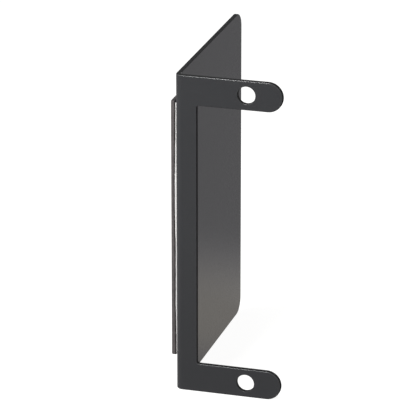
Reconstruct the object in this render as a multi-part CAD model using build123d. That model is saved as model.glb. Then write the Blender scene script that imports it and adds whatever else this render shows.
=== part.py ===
"""Adapter bracket for a three-unit fibre enclosure: a folded steel sheet with a gasket strip.

The sheet is a C-shaped front plate with two eared ends, folded once down its left edge into a plain
side plate that runs back. A foam gasket strip is stuck to the outer face of the side plate with a
foam mounting tape.

Frame: +X runs along the ears, -Y is the front, +Z is up. The origin is the centre of the two rack
holes, on the rear face of the ears, which is the face that seats on the rack rail. Sizes are in mm.
"""
from build123d import *
import os

# Sheet
sheet = 1.9
bend_inside_radius = 0.9
edge_radius = 0.4

# Front plate, measured from the outer face of the side plate
plate_height = 132.5
ear_reach = 43.6
ear_height = 12.0
web_width = 9.0
window_corner_radius = 0.8

# Rack holes, measured from the ends of the plate and from the outer face of the side plate
hole_diameter = 7.14
hole_edge_radius = 0.2
hole_end_distance = 5.925
hole_offset = 29.0

# Side plate, measured from the front face
side_depth = 88.9
rear_corner_radius = 6.35

# Gasket strip and its mounting tape
gasket_length = 107.5
gasket_width = 19.0
gasket_thickness = 1.8
gasket_edge_radius = 0.5
gasket_corner_radius = 0.9
gasket_setback = 5.4
tape_thickness = 1.4
tape_end_margin = 0.9
tape_side_margin = 0.05
tape_corner_radius = 0.8

# Places that follow from the sizes above
outer_x = -hole_offset
inner_x = outer_x + sheet
front_y = -sheet
tip_x = outer_x + ear_reach
hole_spacing = plate_height - 2 * hole_end_distance
strip_y = front_y + gasket_setback + gasket_width / 2

# How closely two lengths agree when an edge is told by its length
length_tolerance = 0.001


def fold_section():
    """The folded sheet seen from above, with the inside and outside radii of the bend."""
    outer = Pos(outer_x, front_y) * Rectangle(ear_reach, side_depth, align=Align.MIN)
    inner = Pos(inner_x, 0) * Rectangle(ear_reach, side_depth, align=Align.MIN)
    outside_radius = bend_inside_radius + sheet
    outer = fillet(outer.vertices().group_by(Axis.X)[0].sort_by(Axis.Y)[0], outside_radius)
    inner = fillet(inner.vertices().group_by(Axis.X)[0].sort_by(Axis.Y)[0], bend_inside_radius)
    return outer - inner


def front_outline():
    """The C shape seen from the front: the web with its two ears, each with a full-round end."""
    blank = Pos(outer_x, 0) * Rectangle(ear_reach, plate_height, align=(Align.MIN, Align.CENTER))
    window_height = plate_height - 2 * ear_height
    window = Pos(outer_x + web_width, 0) * Rectangle(
        ear_reach, window_height, align=(Align.MIN, Align.CENTER)
    )
    window = fillet(window.vertices().group_by(Axis.X)[0], window_corner_radius)
    outline = blank - window
    end_length = ear_height / 2
    for side in (1, -1):
        ear_z = side * (plate_height - ear_height) / 2
        square_end = Pos(tip_x - end_length, ear_z) * Rectangle(
            end_length, ear_height, align=(Align.MIN, Align.CENTER)
        )
        round_end = Pos(tip_x - end_length, ear_z) * Circle(ear_height / 2)
        outline = outline - square_end + round_end
    return outline


def side_outline():
    """The side plate seen from its outer side, with its two rear corners rounded."""
    outline = Pos(front_y, 0) * Rectangle(side_depth, plate_height, align=(Align.MIN, Align.CENTER))
    return fillet(outline.vertices().group_by(Axis.X)[-1], rear_corner_radius)


def is_arris(edge):
    """Tell an arris of the cut sheet from a line across its thickness and from a seam of the bend."""
    straight = edge.geom_type == GeomType.LINE
    across_the_sheet = straight and abs(edge.length - sheet) < length_tolerance
    bend_seam = straight and abs(edge.length - plate_height) < length_tolerance
    return not (across_the_sheet or bend_seam)


def is_hole_rim(edge):
    """Tell a rim of a rack hole from the round lines of the ears and of the corners."""
    round_line = edge.geom_type == GeomType.CIRCLE
    return round_line and abs(edge.radius - hole_diameter / 2) < length_tolerance


def make_bracket():
    """The folded sheet: its section, front outline and side outline meet in one solid."""
    fold = extrude(fold_section(), amount=plate_height / 2, both=True)
    front = extrude(Plane.XZ * front_outline(), amount=side_depth, both=True)
    side = extrude(Plane.YZ * side_outline(), amount=ear_reach, both=True)
    body = fold & front & side
    body = fillet(body.edges().filter_by(is_arris), edge_radius)
    hole = extrude(Plane.XZ * Circle(hole_diameter / 2), amount=2 * sheet, both=True)
    for side_sign in (1, -1):
        body -= Pos(0, 0, side_sign * hole_spacing / 2) * hole
    return fillet(body.edges().filter_by(is_hole_rim), hole_edge_radius)


def make_tape():
    """The foam mounting tape, flat on the outer face of the side plate."""
    outline = RectangleRounded(
        gasket_width - 2 * tape_side_margin, gasket_length - 2 * tape_end_margin, tape_corner_radius
    )
    face = Plane(origin=(outer_x, strip_y, 0), x_dir=(0, -1, 0), z_dir=(-1, 0, 0))
    return extrude(face * outline, amount=tape_thickness)


def make_gasket():
    """The foam gasket strip, flat on the tape, with its outer arrises and corners softened."""
    outline = RectangleRounded(gasket_width, gasket_length, gasket_corner_radius)
    face = Plane(origin=(outer_x - tape_thickness, strip_y, 0), x_dir=(0, -1, 0), z_dir=(-1, 0, 0))
    strip = extrude(face * outline, amount=gasket_thickness)
    return fillet(strip.faces().sort_by(Axis.X)[0].edges(), gasket_edge_radius)


os.makedirs("parts", exist_ok=True)
parts = {
    "bracket": make_bracket(),
    "mounting_tape": make_tape(),
    "gasket_strip": make_gasket(),
}
for name, solid in parts.items():
    export_step(solid, f"parts/{name}.step")
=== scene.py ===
"""Looks of a folded steel adapter bracket with its foam gasket strip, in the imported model's frame.

The bracket keeps its solid and gets a satin powder coat. The gasket strip and its mounting tape are
modelled again as foam pieces. A floor, soft lamps and the camera stand round them. Lengths are in
metres unless a name says otherwise.
"""

import logging
import math
from dataclasses import dataclass
from enum import Enum

import bpy
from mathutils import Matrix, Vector


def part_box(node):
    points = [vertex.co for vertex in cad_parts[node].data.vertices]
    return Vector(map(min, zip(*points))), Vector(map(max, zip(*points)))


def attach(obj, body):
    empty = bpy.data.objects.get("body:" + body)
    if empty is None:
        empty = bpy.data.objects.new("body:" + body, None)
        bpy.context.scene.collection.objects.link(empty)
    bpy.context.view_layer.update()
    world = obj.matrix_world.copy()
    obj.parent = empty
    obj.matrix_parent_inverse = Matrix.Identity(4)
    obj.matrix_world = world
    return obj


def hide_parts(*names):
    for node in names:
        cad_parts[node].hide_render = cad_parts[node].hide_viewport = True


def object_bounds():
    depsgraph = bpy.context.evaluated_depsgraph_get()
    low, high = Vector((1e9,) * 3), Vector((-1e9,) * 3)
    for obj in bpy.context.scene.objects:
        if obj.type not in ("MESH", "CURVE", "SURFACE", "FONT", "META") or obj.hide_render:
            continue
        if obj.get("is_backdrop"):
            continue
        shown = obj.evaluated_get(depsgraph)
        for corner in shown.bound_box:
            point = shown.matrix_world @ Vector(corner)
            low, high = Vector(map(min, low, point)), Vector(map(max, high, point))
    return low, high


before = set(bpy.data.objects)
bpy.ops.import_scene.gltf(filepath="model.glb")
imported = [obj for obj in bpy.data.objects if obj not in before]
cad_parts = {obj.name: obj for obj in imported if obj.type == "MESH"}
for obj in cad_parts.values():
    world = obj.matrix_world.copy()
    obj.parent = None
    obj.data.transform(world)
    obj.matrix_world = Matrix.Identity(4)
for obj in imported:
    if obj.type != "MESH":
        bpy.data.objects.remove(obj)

Colour = tuple[float, float, float]
Place = tuple[float, float, float]
Reach = tuple[float, float]
Socket = bpy.types.NodeSocket
Sockets = bpy.types.bpy_prop_collection
Value = Socket | bpy.types.Material | float | str | tuple

LOG = logging.getLogger("adapter_bracket")
BODY = "root"
MM = 0.001
X, Y, Z = range(3)
WHITE: Colour = (1.0, 1.0, 1.0)

# The rear face of the ears lies on the frame's origin plane
SEAT_Y = 0.0

# A noise goes from 0 to 1 about this value
NOISE_MIDDLE = 0.5

# A strip's mesh attribute, which is 0 on its outer face and 1 on its face towards the plate
DEPTH = "depth_to_plate"


class Node(Enum):
    """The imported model's nodes."""

    BRACKET = "bracket"
    GASKET = "gasket_strip"
    TAPE = "mounting_tape"


class Slot(Enum):
    """The record's material slots."""

    STEEL = "powder_coated_steel"
    GASKET = "gasket_foam"
    TAPE = "foam_tape"


class Face(Enum):
    """The two broad faces of a strip, of which the inner one is towards the side plate."""

    OUTER = "outer"
    INNER = "inner"


class Graph:
    """A thin helper round a node tree: it adds nodes, sets their values and links their sockets.

    A Mix node's colour sockets go by number, because its other kinds of value share their names.
    """

    MIX_SHARE = 0
    MIX_FIRST = 6
    MIX_SECOND = 7
    MIX_RESULT = 2

    def __init__(self, tree: bpy.types.NodeTree) -> None:
        """Keep the shader or geometry node tree that nodes are added to."""
        self.tree = tree

    def add(
        self, kind: str, inputs: dict[int | str, Value] | None = None, **settings: object
    ) -> bpy.types.Node:
        """Add a node.

        Args:
            kind: Blender's name for the node type.
            inputs: Socket name or number, to a plain value or to an output socket to link from.
            **settings: Attributes of the node itself.

        Returns:
            The new node.
        """
        node = self.tree.nodes.new(kind)
        for name, setting in settings.items():
            setattr(node, name, setting)
        self.fill(node, inputs or {})
        return node

    def fill(self, node: bpy.types.Node, inputs: dict[int | str, Value]) -> None:
        """Link or set some inputs of a node.

        Args:
            node: The node.
            inputs: Socket name or number, to a plain value or to an output socket to link from.
        """
        for key, value in inputs.items():
            if isinstance(value, Socket):
                self.tree.links.new(value, node.inputs[key])
            else:
                node.inputs[key].default_value = value

    def math(self, operation: str, *values: Socket | float, clamp: bool = False) -> Socket:
        """Work one operation on the values, kept from 0 to 1 if clamped."""
        inputs = dict(enumerate(values))
        return self.add("ShaderNodeMath", inputs, operation=operation, use_clamp=clamp).outputs[0]

    def between(self, value: Socket, reach: Reach) -> Socket:
        """Ease a value from 0 at one end of a reach to 1 at the other, and hold it outside them.

        Args:
            value: The value.
            reach: Where the result is 0 and where it is 1, in either order of size.

        Returns:
            The eased value.
        """
        inputs = {"Value": value, "From Min": reach[0], "From Max": reach[1]}
        node = self.add("ShaderNodeMapRange", inputs, interpolation_type="SMOOTHSTEP")
        return node.outputs["Result"]

    def mix(self, share: Socket, first: Socket | Colour, second: Socket | Colour) -> Socket:
        """Mix two colours.

        Args:
            share: The share of the second colour, from 0 to 1.
            first: The first colour.
            second: The second colour.

        Returns:
            The mixed colour.
        """
        inputs = {self.MIX_SHARE: share, self.MIX_FIRST: first, self.MIX_SECOND: second}
        for key, value in inputs.items():
            if isinstance(value, tuple):
                inputs[key] = (*value, 1.0)
        return self.add("ShaderNodeMix", inputs, data_type="RGBA").outputs[self.MIX_RESULT]

    def split(self, vector: Socket) -> Sockets:
        """Take a vector apart into its X, Y and Z."""
        return self.add("ShaderNodeSeparateXYZ", {0: vector}).outputs

    def join(self, x: Socket | float, y: Socket | float, z: Socket | float) -> Socket:
        """Put a vector together from its X, Y and Z."""
        return self.add("ShaderNodeCombineXYZ", {X: x, Y: y, Z: z}).outputs[0]

    def relief(self, height: Socket, depth: float) -> Socket:
        """Turn a height from 0 to 1 into a normal, as if it stood out by that depth."""
        inputs = {"Height": height, "Distance": depth, "Strength": 1.0}
        return self.add("ShaderNodeBump", inputs).outputs["Normal"]


def start_material(name: str) -> tuple[bpy.types.Material, Graph, bpy.types.Node]:
    """Start a material that has nodes.

    Args:
        name: Its name.

    Returns:
        The material, a helper round its tree, and its Principled shader.
    """
    made = bpy.data.materials.new(name)
    made.use_nodes = True
    return made, Graph(made.node_tree), made.node_tree.nodes["Principled BSDF"]


@dataclass(frozen=True)
class Grain:
    """A mottled tone and a fine relief, from one shader node group that both finishes use.

    Scales are in features to a metre. The patches give the tone, and the fine grain gives the
    relief, in which the cells cut pores by their share. The shine is the mean of patches and grain.
    """

    patch_scale: float
    grain_scale: float
    cell_scale: float = 1.0
    cell_share: float = 0.0

    NAME = "surface_grain"
    INPUTS = ("Patch Scale", "Grain Scale", "Cell Scale", "Cell Share")
    OUTPUTS = ("Tone", "Shine", "Height")
    PATCH_DETAIL = 2.0
    GRAIN_DETAIL = 3.0
    DETAIL_STRENGTH = 0.55

    def place(self, graph: Graph, vector: Socket) -> Sockets:
        """Place the group in a material.

        Args:
            graph: The material's tree.
            vector: The coordinates.

        Returns:
            The Tone, Shine and Height outputs, each a value about the middle of a noise.
        """
        sizes = (self.patch_scale, self.grain_scale, self.cell_scale, self.cell_share)
        inputs = {"Vector": vector, **dict(zip(self.INPUTS, sizes))}
        return graph.add("ShaderNodeGroup", inputs, node_tree=self.group()).outputs

    @classmethod
    def group(cls) -> bpy.types.NodeTree:
        """Return the node group, built at the first call.

        Returns:
            The group, with an input for each scale and share, and the three outputs.
        """
        found = bpy.data.node_groups.get(cls.NAME)
        if found:
            return found
        tree = bpy.data.node_groups.new(cls.NAME, "ShaderNodeTree")
        tree.interface.new_socket("Vector", in_out="INPUT", socket_type="NodeSocketVector")
        for side, names in (("INPUT", cls.INPUTS), ("OUTPUT", cls.OUTPUTS)):
            for name in names:
                tree.interface.new_socket(name, in_out=side, socket_type="NodeSocketFloat")
        graph = Graph(tree)
        given = graph.add("NodeGroupInput").outputs
        patch = cls.noise(graph, given["Vector"], given["Patch Scale"], cls.PATCH_DETAIL)
        grain = cls.noise(graph, given["Vector"], given["Grain Scale"], cls.GRAIN_DETAIL)
        cells = graph.add(
            "ShaderNodeTexVoronoi",
            {"Vector": given["Vector"], "Scale": given["Cell Scale"]},
            feature="F1",
        )
        pore = graph.math("SUBTRACT", cells.outputs["Distance"], NOISE_MIDDLE)
        height = graph.math("MULTIPLY_ADD", pore, given["Cell Share"], grain)
        shine = graph.math("MULTIPLY", graph.math("ADD", grain, patch), 0.5)
        graph.add("NodeGroupOutput", {"Tone": patch, "Shine": shine, "Height": height})
        return tree

    @classmethod
    def noise(cls, graph: Graph, vector: Socket, scale: Socket, detail: float) -> Socket:
        """Add a noise with this many finer layers."""
        inputs = {"Vector": vector, "Scale": scale, "Detail": detail, "Roughness": cls.DETAIL_STRENGTH}
        return graph.add("ShaderNodeTexNoise", inputs).outputs[0]


@dataclass(frozen=True)
class Fold:
    """Where the folded sheet lies, for telling its front plate, bend and side plate apart.

    The outer face of the side plate and the rear face of the front plate are places, the sheet is
    its thickness, and the reaches and the margin are counted in sheets.
    """

    outer_x: float
    seat_y: float
    sheet: float
    bend_reach_x: float = 2.0
    bend_reach_y: float = 1.0
    seat_margin: float = 0.1

    @property
    def bend_end_x(self) -> float:
        """Where the bend has ended along the front plate."""
        return self.outer_x + self.bend_reach_x * self.sheet

    @property
    def front_end_y(self) -> float:
        """A hair behind the front plate's rear face."""
        return self.seat_y + self.seat_margin * self.sheet

    @property
    def side_start_y(self) -> float:
        """Where the bend has ended along the side plate."""
        return self.seat_y + self.bend_reach_y * self.sheet


@dataclass(frozen=True)
class PowderCoat:
    """A satin black powder coat: a fine orange peel, and dull cut edges painted darker as painted
    shade.

    It has a clear satin top over a dull undercoat, and a glossier arris between skin and cut edge.
    Each reach is a pair of values of a unit normal's part, between which a mask goes from 0 to 1.
    """

    face: Colour = (0.0245, 0.0257, 0.0283)
    patch: Colour = (0.0285, 0.0293, 0.0316)
    # Painted shade: the cut edges and the arrises next to them take this darker colour
    cut: Colour = (0.0115, 0.0115, 0.0120)
    roughness: float = 0.70
    roughness_spread: float = 0.12
    undercoat_specular: float = 0.03
    satin_weight: float = 0.50
    satin_roughness: float = 0.27
    satin_ior: float = 1.65
    arris_gloss: float = 0.50
    peel_depth: float = 0.012 * MM
    grain: Grain = Grain(patch_scale=55.0, grain_scale=1500.0)
    skin_reach: Reach = (0.72, 0.92)
    flat_reach: Reach = (0.95, 0.998)
    seat_reach: Reach = (0.85, 0.98)
    inner_reach: Reach = (0.72, 0.98)
    outer_reach: Reach = (0.35, 0.65)

    def material(self, fold: Fold) -> bpy.types.Material:
        """Build the coat.

        Args:
            fold: Where the sheet lies.

        Returns:
            The finished material.
        """
        made, graph, shader = start_material("satin_powder_coat")
        where = graph.add("ShaderNodeTexCoord").outputs
        grain = self.grain.place(graph, where["Object"])
        level = self.skin_level(graph, where, fold)
        skin = graph.between(level, self.skin_reach)
        off_flat = graph.math("SUBTRACT", 1.0, graph.between(level, self.flat_reach))
        arris = graph.math("MULTIPLY", skin, off_flat)
        gloss = graph.math("MULTIPLY", skin, self.satin_weight)
        gloss = graph.math("MULTIPLY_ADD", arris, self.arris_gloss, gloss, clamp=True)
        tone = graph.mix(grain["Tone"], self.face, self.patch)
        spread = graph.math("SUBTRACT", grain["Shine"], NOISE_MIDDLE)
        rough = graph.math("MULTIPLY_ADD", spread, self.roughness_spread, self.roughness)
        surface = {
            # The cut edges and their arrises get the darker colour, which is painted shade
            "Base Color": graph.mix(skin, self.cut, tone),
            "Roughness": rough,
            "Normal": graph.relief(grain["Height"], self.peel_depth),
            "Specular IOR Level": self.undercoat_specular,
            "Coat Weight": gloss,
            "Coat Roughness": self.satin_roughness,
            "Coat IOR": self.satin_ior,
        }
        graph.fill(shader, surface)
        return made

    def skin_level(self, graph: Graph, where: Sockets, fold: Fold) -> Socket:
        """Tell the sheet's two skins from its cut edges, by place and normal.

        Args:
            graph: The material's tree.
            where: The Texture Coordinate node's outputs.
            fold: Where the sheet lies.

        Returns:
            The level: 1 on a skin, falling over its arris to 0 on a cut edge.
        """
        place = graph.split(where["Object"])
        normal = graph.split(where["Normal"])
        outwards = graph.math("MULTIPLY", normal[X], -1.0)
        inner_skin = graph.between(normal[X], self.inner_reach)
        side_skin = graph.math("MAXIMUM", inner_skin, graph.between(outwards, self.outer_reach))
        upright = graph.math("MULTIPLY", normal[Z], normal[Z])
        bend_skin = graph.math("SQRT", graph.math("SUBTRACT", 1.0, upright, clamp=True))
        forwards = graph.math("MULTIPLY", normal[Y], -1.0)
        front_skin = graph.math("MAXIMUM", forwards, graph.between(normal[Y], self.seat_reach))
        in_front = graph.math("LESS_THAN", place[Y], fold.front_end_y)
        past_bend = graph.math("GREATER_THAN", place[X], fold.bend_end_x)
        front_plate = graph.math("MULTIPLY", in_front, past_bend)
        side_plate = graph.math("GREATER_THAN", place[Y], fold.side_start_y)
        bend = graph.math("SUBTRACT", graph.math("SUBTRACT", 1.0, front_plate), side_plate)
        level = graph.math("MULTIPLY", front_skin, front_plate)
        level = graph.math("MULTIPLY_ADD", side_skin, side_plate, level)
        return graph.math("MULTIPLY_ADD", bend_skin, bend, level, clamp=True)


@dataclass(frozen=True)
class Foam:
    """Closed-cell foam: matt and mottled, with fine pores.

    Along its joint with the other strip it is painted darker, as painted shade, and its two end faces
    are painted darker too, as painted shade. The joint's shade comes in between two depths, which are
    shares of the strip's thickness from its outer face, and it is as uneven as the tone. Each reach is
    a pair of values, between which a mask goes from 0 to 1: of the noise for the tone and the joint's
    shade, and of the normal's upright part for the ends.
    """

    name: str
    body: Colour
    patch: Colour
    # Painted shade: this colour darkens the strip along its joint with the other strip
    joint_shade: Colour
    # Painted shade: this colour darkens the two end faces, which face up and down
    end_shade: Colour
    roughness: float
    patch_scale: float
    pore_scale: float
    pore_depth: float
    joint_shade_depths: Reach
    specular: float = 0.25
    pore_share: float = 0.8
    grains_to_pore: float = 2.0
    tone_reach: Reach = (0.3, 0.7)
    joint_shade_reach: Reach = (0.20, 0.45)
    end_shade_reach: Reach = (0.35, 0.8)

    def material(self) -> bpy.types.Material:
        """Build the foam.

        Returns:
            The finished material.
        """
        made, graph, shader = start_material(self.name)
        where = graph.add("ShaderNodeTexCoord").outputs
        grain = self.grain().place(graph, where["Object"])
        tone = graph.mix(graph.between(grain["Tone"], self.tone_reach), self.body, self.patch)
        depth = graph.add("ShaderNodeAttribute", attribute_name=DEPTH).outputs["Fac"]
        uneven = graph.between(grain["Tone"], self.joint_shade_reach)
        # Painted shade along the joint: the strip is darkened unevenly towards the other strip
        joint_shade = graph.math("MULTIPLY", graph.between(depth, self.joint_shade_depths), uneven)
        tone = graph.mix(joint_shade, tone, self.joint_shade)
        # The end faces are painted darker: painted shade
        upright = graph.math("ABSOLUTE", graph.split(where["Normal"])[Z])
        tone = graph.mix(graph.between(upright, self.end_shade_reach), tone, self.end_shade)
        surface = {
            "Base Color": tone,
            "Roughness": self.roughness,
            "Normal": graph.relief(grain["Height"], self.pore_depth),
            "Specular IOR Level": self.specular,
        }
        graph.fill(shader, surface)
        return made

    def grain(self) -> Grain:
        """Give the foam's mottling and pores."""
        fine = self.grains_to_pore * self.pore_scale
        return Grain(self.patch_scale, fine, self.pore_scale, self.pore_share)


CHARCOAL_FOAM = Foam(
    name="charcoal_foam",
    body=(0.120, 0.108, 0.109),
    patch=(0.095, 0.087, 0.088),
    # The next colour is painted shade along the joint with the tape
    joint_shade=(0.026, 0.023, 0.024),
    # The next colour is painted shade on the strip's two end faces
    end_shade=(0.030, 0.027, 0.028),
    roughness=0.92,
    patch_scale=240.0,
    pore_scale=2600.0,
    pore_depth=0.06 * MM,
    joint_shade_depths=(0.62, 0.85),
)
WHITE_FOAM = Foam(
    name="white_foam",
    body=(0.80, 0.79, 0.78),
    patch=(0.74, 0.73, 0.72),
    # The next colour is painted shade along the joint with the gasket
    joint_shade=(0.70, 0.69, 0.68),
    # The next colour is painted shade on the strip's two end faces
    end_shade=(0.30, 0.29, 0.28),
    roughness=0.85,
    patch_scale=260.0,
    pore_scale=3200.0,
    pore_depth=0.03 * MM,
    joint_shade_depths=(0.20, 0.0),
)


class StripTree:
    """The geometry node tree that cuts a flat foam strip, one of whose faces follows the joint.

    The joint between the tape and the gasket bows away from the plate along the strip and ripples a
    little, so both strips are cut with the same joint. A face follows it by its share, 0 or 1.
    """

    NAME = "foam_strip"
    SIZES = (
        "Width",
        "Length",
        "Middle",
        "Outer Face",
        "Inner Face",
        "Outer Follows",
        "Inner Follows",
        "Bow",
        "Bow Reach",
        "Bow Middle",
        "Ripple",
        "Ripple Scale",
        "Ripple Phase",
        "Edge Wave",
        "Edge Scale",
    )
    POINTS_THROUGH = 4
    POINTS_ACROSS = 38
    POINTS_ALONG = 216
    RIPPLE_DETAIL = 3.0
    WAVE_DETAIL = 1.0

    @classmethod
    def group(cls) -> bpy.types.NodeTree:
        """Return the tree, built at the first call.

        Returns:
            The geometry node group, with a float input for each size and a material input.
        """
        found = bpy.data.node_groups.get(cls.NAME)
        if found:
            return found
        tree = bpy.data.node_groups.new(cls.NAME, "GeometryNodeTree")
        for name in cls.SIZES:
            tree.interface.new_socket(name, in_out="INPUT", socket_type="NodeSocketFloat")
        tree.interface.new_socket("Material", in_out="INPUT", socket_type="NodeSocketMaterial")
        tree.interface.new_socket("Geometry", in_out="OUTPUT", socket_type="NodeSocketGeometry")
        graph = Graph(tree)
        given = graph.add("NodeGroupInput").outputs
        place = graph.add("GeometryNodeInputPosition").outputs[0]
        here = graph.split(place)
        # The blank is one unit thick about its middle, so its place on X gives the share of depth
        depth = graph.math("ADD", here[X], 0.5)
        blank = cls.blank(graph, given)
        marked = graph.add(
            "GeometryNodeStoreNamedAttribute",
            {"Geometry": blank, "Name": DEPTH, "Value": depth},
            data_type="FLOAT",
            domain="POINT",
        )
        moved = cls.shape(graph, given, here, depth)
        shaped = graph.add(
            "GeometryNodeSetPosition", {"Geometry": marked.outputs[0], "Position": moved}
        )
        wander = cls.edge_wave(graph, given, place)
        waved = graph.add(
            "GeometryNodeSetPosition", {"Geometry": shaped.outputs[0], "Offset": wander}
        )
        solid = graph.add("GeometryNodeRealizeInstances", {0: waved.outputs[0]})
        dressed = graph.add(
            "GeometryNodeSetMaterial",
            {"Geometry": solid.outputs[0], "Material": given["Material"]},
        )
        graph.add("NodeGroupOutput", {0: dressed.outputs[0]})
        return tree

    @classmethod
    def blank(cls, graph: Graph, given: Sockets) -> Socket:
        """Lay out the strip's points in a block.

        Args:
            graph: The tree.
            given: The Group Input node's outputs.

        Returns:
            The block's mesh, one unit thick, as wide and long as the strip.
        """
        inputs = {
            "Size": graph.join(1.0, given["Width"], given["Length"]),
            "Vertices X": cls.POINTS_THROUGH,
            "Vertices Y": cls.POINTS_ACROSS,
            "Vertices Z": cls.POINTS_ALONG,
        }
        return graph.add("GeometryNodeMeshCube", inputs).outputs["Mesh"]

    @classmethod
    def shape(cls, graph: Graph, given: Sockets, here: Sockets, depth: Socket) -> Socket:
        """Work out where a point of the block goes.

        Args:
            graph: The tree.
            given: The Group Input node's outputs.
            here: The point's X, Y and Z in the block.
            depth: Its share of the way from the outer face to the inner one.

        Returns:
            Its place in the strip.
        """
        joint = cls.joint(graph, given, here[Z])
        outer = graph.math("MULTIPLY_ADD", given["Outer Follows"], joint, given["Outer Face"])
        inner = graph.math("MULTIPLY_ADD", given["Inner Follows"], joint, given["Inner Face"])
        thickness = graph.math("SUBTRACT", inner, outer)
        x = graph.math("MULTIPLY_ADD", thickness, depth, outer)
        return graph.join(x, graph.math("ADD", here[Y], given["Middle"]), here[Z])

    @classmethod
    def joint(cls, graph: Graph, given: Sockets, along: Socket) -> Socket:
        """Work out how far the joint stands away from the plate at a height.

        Args:
            graph: The tree.
            given: The Group Input node's outputs.
            along: The height.

        Returns:
            The joint's offset on X, which is negative away from the plate.
        """
        off_middle = graph.math("SUBTRACT", along, given["Bow Middle"])
        share = graph.math("DIVIDE", off_middle, given["Bow Reach"])
        bow = graph.math("MULTIPLY_ADD", graph.math("MULTIPLY", share, share), -1.0, 1.0)
        bow = graph.math("MULTIPLY", bow, given["Bow"])
        waves = graph.add(
            "ShaderNodeTexNoise",
            {
                "W": graph.math("ADD", along, given["Ripple Phase"]),
                "Scale": given["Ripple Scale"],
                "Detail": cls.RIPPLE_DETAIL,
            },
            noise_dimensions="1D",
        ).outputs[0]
        centred = graph.math("SUBTRACT", waves, NOISE_MIDDLE)
        ripple = graph.math("MULTIPLY", centred, given["Ripple"])
        return graph.math("MULTIPLY", graph.math("ADD", bow, ripple), -1.0)

    @classmethod
    def edge_wave(cls, graph: Graph, given: Sockets, place: Socket) -> Socket:
        """Work out the small wander of the knife along the strip's cut edges.

        Args:
            graph: The tree.
            given: The Group Input node's outputs.
            place: The point's place in the block.

        Returns:
            An offset in the strip's own plane.
        """
        inputs = {"Vector": place, "Scale": given["Edge Scale"], "Detail": cls.WAVE_DETAIL}
        waves = graph.add("ShaderNodeTexNoise", inputs).outputs[1]
        middle = (NOISE_MIDDLE, NOISE_MIDDLE, NOISE_MIDDLE)
        centred = graph.add("ShaderNodeVectorMath", {0: waves, 1: middle}, operation="SUBTRACT")
        plane = graph.join(0.0, given["Edge Wave"], given["Edge Wave"])
        inputs = {0: centred.outputs[0], 1: plane}
        return graph.add("ShaderNodeVectorMath", inputs, operation="MULTIPLY").outputs[0]


@dataclass(frozen=True)
class Joint:
    """The line where the gasket meets its tape, as the camera sees it past the bend.

    Along the joint the tape has its base thickness, with a ripple and a bow that is widest at its
    middle and gone at its reach either way.
    """

    base_thickness: float = 1.06 * MM
    bow: float = 0.41 * MM
    bow_reach: float = 90.0 * MM
    bow_middle: float = 11.3 * MM
    ripple: float = 0.77 * MM
    ripple_scale: float = 30.0
    ripple_phase: float = 3.27

    def sizes(self) -> dict[str, float]:
        """Name the joint's sizes as the strip's tree does."""
        return {
            "Bow": self.bow,
            "Bow Reach": self.bow_reach,
            "Bow Middle": self.bow_middle,
            "Ripple": self.ripple,
            "Ripple Scale": self.ripple_scale,
            "Ripple Phase": self.ripple_phase,
        }


@dataclass(frozen=True)
class FoamStrip:
    """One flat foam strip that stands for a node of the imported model."""

    node: Node
    slot: Slot
    name: str
    foam: Foam
    joined_face: Face
    arris_radius: float
    edge_wave: float
    edge_scale: float = 120.0
    arris_segments: int = 3
    sharp_angle: float = math.radians(50)

    def build(self, outer_x: float, joint: Joint) -> bpy.types.Object:
        """Cut the strip, soften its arrises and set it in the frame.

        Args:
            outer_x: Where the side plate's outer face is.
            joint: The joint between the two strips.

        Returns:
            The finished piece, which replaces its node.
        """
        low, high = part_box(self.node.value)
        faces = {Face.OUTER: low.x, Face.INNER: outer_x}
        faces[self.joined_face] = outer_x - joint.base_thickness
        sizes = {
            "Width": high.y - low.y,
            "Length": high.z - low.z,
            "Middle": (high.y + low.y) / 2,
            "Outer Face": faces[Face.OUTER],
            "Inner Face": faces[Face.INNER],
            "Outer Follows": float(self.joined_face is Face.OUTER),
            "Inner Follows": float(self.joined_face is Face.INNER),
            "Edge Wave": self.edge_wave,
            "Edge Scale": self.edge_scale,
            "Material": self.foam.material(),
        }
        piece = self.cut({**sizes, **joint.sizes()})
        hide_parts(self.node.value)
        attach(piece, BODY)
        return piece

    def cut(self, sizes: dict[str, Value]) -> bpy.types.Object:
        """Run the strip's tree and turn its result into a plain mesh.

        Args:
            sizes: The tree's input names, to their values.

        Returns:
            A new object at the origin, with no modifier.
        """
        blank = bpy.data.meshes.new(self.name + "_blank")
        maker = bpy.data.objects.new(self.name + "_maker", blank)
        bpy.context.scene.collection.objects.link(maker)
        tree = StripTree.group()
        nodes = maker.modifiers.new("strip", "NODES")
        nodes.node_group = tree
        for item in tree.interface.items_tree:
            if item.in_out == "INPUT":
                nodes[item.identifier] = sizes[item.name]
        bevel = maker.modifiers.new("arris", "BEVEL")
        bevel.width = self.arris_radius
        bevel.segments = self.arris_segments
        bevel.limit_method = "ANGLE"
        bevel.angle_limit = self.sharp_angle
        bpy.context.view_layer.update()
        shaped = maker.evaluated_get(bpy.context.evaluated_depsgraph_get())
        mesh = bpy.data.meshes.new_from_object(shaped)
        mesh.name = self.name
        mesh.shade_smooth()
        bpy.data.objects.remove(maker)
        piece = bpy.data.objects.new(self.name, mesh)
        bpy.context.scene.collection.objects.link(piece)
        return piece


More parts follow.
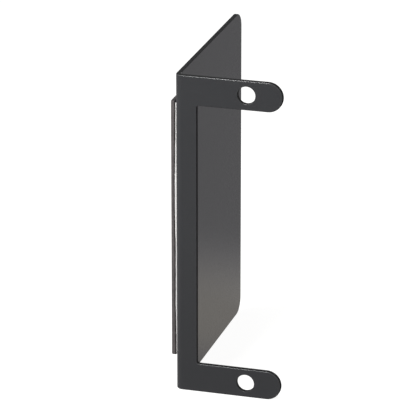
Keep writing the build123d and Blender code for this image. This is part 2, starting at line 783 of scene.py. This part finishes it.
@dataclass(frozen=True)
class Gasket:
    """The gasket strip on its mounting tape, cut with one joint between them."""

    joint: Joint = Joint()
    tape: FoamStrip = FoamStrip(
        node=Node.TAPE,
        slot=Slot.TAPE,
        name="mounting_tape_foam",
        foam=WHITE_FOAM,
        joined_face=Face.OUTER,
        arris_radius=0.10 * MM,
        edge_wave=0.25 * MM,
    )
    strip: FoamStrip = FoamStrip(
        node=Node.GASKET,
        slot=Slot.GASKET,
        name="gasket_strip_foam",
        foam=CHARCOAL_FOAM,
        joined_face=Face.INNER,
        arris_radius=0.45 * MM,
        edge_wave=0.12 * MM,
    )

    def build(self, outer_x: float) -> list[bpy.types.Object]:
        """Build the tape and then the strip, on the side plate's outer face."""
        return [layer.build(outer_x, self.joint) for layer in (self.tape, self.strip)]


@dataclass(frozen=True)
class Bracket:
    """The folded sheet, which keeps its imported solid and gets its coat."""

    coat: PowderCoat = PowderCoat()

    def fold(self) -> Fold:
        """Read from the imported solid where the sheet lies."""
        low, _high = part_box(Node.BRACKET.value)
        return Fold(outer_x=low.x, seat_y=SEAT_Y, sheet=SEAT_Y - low.y)

    def dress(self) -> bpy.types.Object:
        """Give the solid its coat.

        Returns:
            The solid's object.
        """
        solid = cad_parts[Node.BRACKET.value]
        material = self.coat.material(self.fold())
        for coat_slot in solid.material_slots:
            coat_slot.material = material
        return solid


@dataclass(frozen=True)
class Softbox:
    """A square studio lamp, at a place that is given from the middle of the object."""

    name: str
    place: Place
    side: float
    share: float

    def hang(self, target: Vector) -> None:
        """Hang the lamp, with the power that gives its share of the full light at the target.

        A lamp of power P at a distance d gives a light of P / (pi * d * d), and a colour shows as it
        is written under a light of pi.

        Args:
            target: The point it is aimed at.
        """
        away = Vector(self.place)
        lamp = bpy.data.lights.new(self.name, "AREA")
        lamp.size = self.side
        lamp.energy = self.share * math.pi**2 * away.length_squared
        holder = bpy.data.objects.new(self.name, lamp)
        holder.location = target + away
        holder.rotation_euler = away.to_track_quat("Z", "Y").to_euler()
        bpy.context.scene.collection.objects.link(holder)


@dataclass(frozen=True)
class Studio:
    """A pale floor and soft lamps, under a plain light sky.

    The floor's tone takes the lamps' light and the object's shadow, and its lift makes it white to
    the camera. The object's gloss sees a pool of light on the floor. The first light and the first
    tint are the pool's own, the second ones hold past its reach.
    """

    floor_half: float = 6.0
    floor_tone: Colour = (0.26, 0.257, 0.25)
    floor_lift: float = 0.87
    pool_middle: Place = (0.0, 0.075, -0.066)
    pool_reach: Reach = (0.014, 0.108)
    pool_light: tuple[float, float] = (0.87, 0.205)
    pool_tints: tuple[Colour, Colour] = ((1.0, 0.935, 0.845), (1.0, 0.96, 1.06))
    sky_light: float = 0.26
    boxes: tuple[Softbox, ...] = (
        Softbox("top_box", place=(-0.15, -0.21, 0.54), side=0.16, share=0.70),
        Softbox("key_box", place=(-0.10, -0.48, 0.26), side=0.08, share=0.39),
        Softbox("left_box", place=(-0.42, -0.28, 0.36), side=0.3, share=0.44),
        Softbox("back_box", place=(0.42, 0.50, 0.36), side=0.4, share=0.50),
    )

    def build(self) -> None:
        """Set up the floor, the sky and the lamps round the object."""
        low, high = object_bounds()
        self.lay_floor(low.z)
        self.light_sky()
        for box in self.boxes:
            box.hang((low + high) / 2)
        bpy.context.scene.view_settings.view_transform = "Standard"

    def lay_floor(self, height: float) -> None:
        """Lay a wide pale floor that shows white but keeps the object's shadow.

        Args:
            height: Where the object's lowest point is.
        """
        half = self.floor_half
        corners = [(-half, -half), (half, -half), (half, half), (-half, half)]
        mesh = bpy.data.meshes.new("floor")
        mesh.from_pydata([(x, y, height) for x, y in corners], [], [(0, 1, 2, 3)])
        mesh.materials.append(self.pale_floor())
        floor = bpy.data.objects.new("floor", mesh)
        bpy.context.scene.collection.objects.link(floor)
        floor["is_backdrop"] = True

    def pale_floor(self) -> bpy.types.Material:
        """Build the floor's finish: white to the camera, and a pool of light to gloss and glass.

        Returns:
            The finished material.
        """
        made, graph, shader = start_material("pale_floor")
        made.node_tree.nodes.remove(shader)
        place = graph.add("ShaderNodeTexCoord").outputs["Object"]
        inputs = {0: place, 1: self.pool_middle}
        away = graph.add("ShaderNodeVectorMath", inputs, operation="DISTANCE").outputs["Value"]
        far = graph.between(away, self.pool_reach)
        near_light, far_light = self.pool_light
        pool = graph.math("MULTIPLY_ADD", far, far_light - near_light, near_light)
        path = graph.add("ShaderNodeLightPath").outputs
        mirror = graph.math("MAXIMUM", path["Is Glossy Ray"], path["Is Transmission Ray"])
        seen = graph.math("MULTIPLY", path["Is Camera Ray"], self.floor_lift)
        strength = graph.math("MAXIMUM", seen, graph.math("MULTIPLY", mirror, pool))
        tint = graph.mix(path["Is Camera Ray"], graph.mix(far, *self.pool_tints), WHITE)
        matt = graph.add("ShaderNodeBsdfDiffuse", {"Color": (*self.floor_tone, 1.0)})
        glow = graph.add("ShaderNodeEmission", {"Color": tint, "Strength": strength})
        both = graph.add("ShaderNodeAddShader", {0: matt.outputs[0], 1: glow.outputs[0]})
        graph.fill(made.node_tree.nodes["Material Output"], {"Surface": both.outputs[0]})
        return made

    def light_sky(self) -> None:
        """Light the scene from all round, and show white where the floor ends."""
        world = bpy.data.worlds.new("sky")
        world.use_nodes = True
        graph = Graph(world.node_tree)
        path = graph.add("ShaderNodeLightPath").outputs
        mirror = graph.math("MAXIMUM", path["Is Glossy Ray"], path["Is Transmission Ray"])
        seen = graph.math("MAXIMUM", path["Is Camera Ray"], mirror)
        strength = graph.math("MULTIPLY_ADD", seen, 1.0 - self.sky_light, self.sky_light)
        sky = world.node_tree.nodes["Background"]
        graph.fill(sky, {"Color": (*WHITE, 1.0), "Strength": strength})
        bpy.context.scene.world = world


@dataclass(frozen=True)
class PhotoCamera:
    """The camera that took the photograph, as fitted to the bracket's outlines."""

    azimuth_deg: float = 16.39
    elevation_deg: float = 20.43
    distance: float = 1296.8 * MM
    aim: Place = (-14.58 * MM, -1.9 * MM, 11.78 * MM)
    lens_mm: float = 283.8
    sensor_mm: float = 36.0
    nearest: float = 0.01
    farthest: float = 100.0

    def stand(self) -> None:
        """Stand the camera at its place and make it the scene's own."""
        turn = math.radians(self.azimuth_deg)
        rise = math.radians(self.elevation_deg)
        level = math.cos(rise)
        back = Vector((math.sin(turn) * level, -math.cos(turn) * level, math.sin(rise)))
        data = bpy.data.cameras.new("photo_camera")
        data.lens = self.lens_mm
        data.sensor_width = self.sensor_mm
        data.clip_start = self.nearest
        data.clip_end = self.farthest
        camera = bpy.data.objects.new("photo_camera", data)
        camera.location = Vector(self.aim) + back * self.distance
        camera.rotation_euler = back.to_track_quat("Z", "Y").to_euler()
        bpy.context.scene.collection.objects.link(camera)
        bpy.context.scene.camera = camera


def main() -> None:
    """Build the object and its stage, and report each piece."""
    logging.basicConfig(level=logging.INFO, format="%(name)s: %(message)s")
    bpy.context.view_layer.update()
    bracket = Bracket()
    pieces = [bracket.dress()]
    pieces += Gasket().build(bracket.fold().outer_x)
    for piece in pieces:
        LOG.info("%s: %d faces", piece.name, len(piece.data.polygons))
    Studio().build()
    PhotoCamera().stand()


if __name__ == "__main__":
    main()
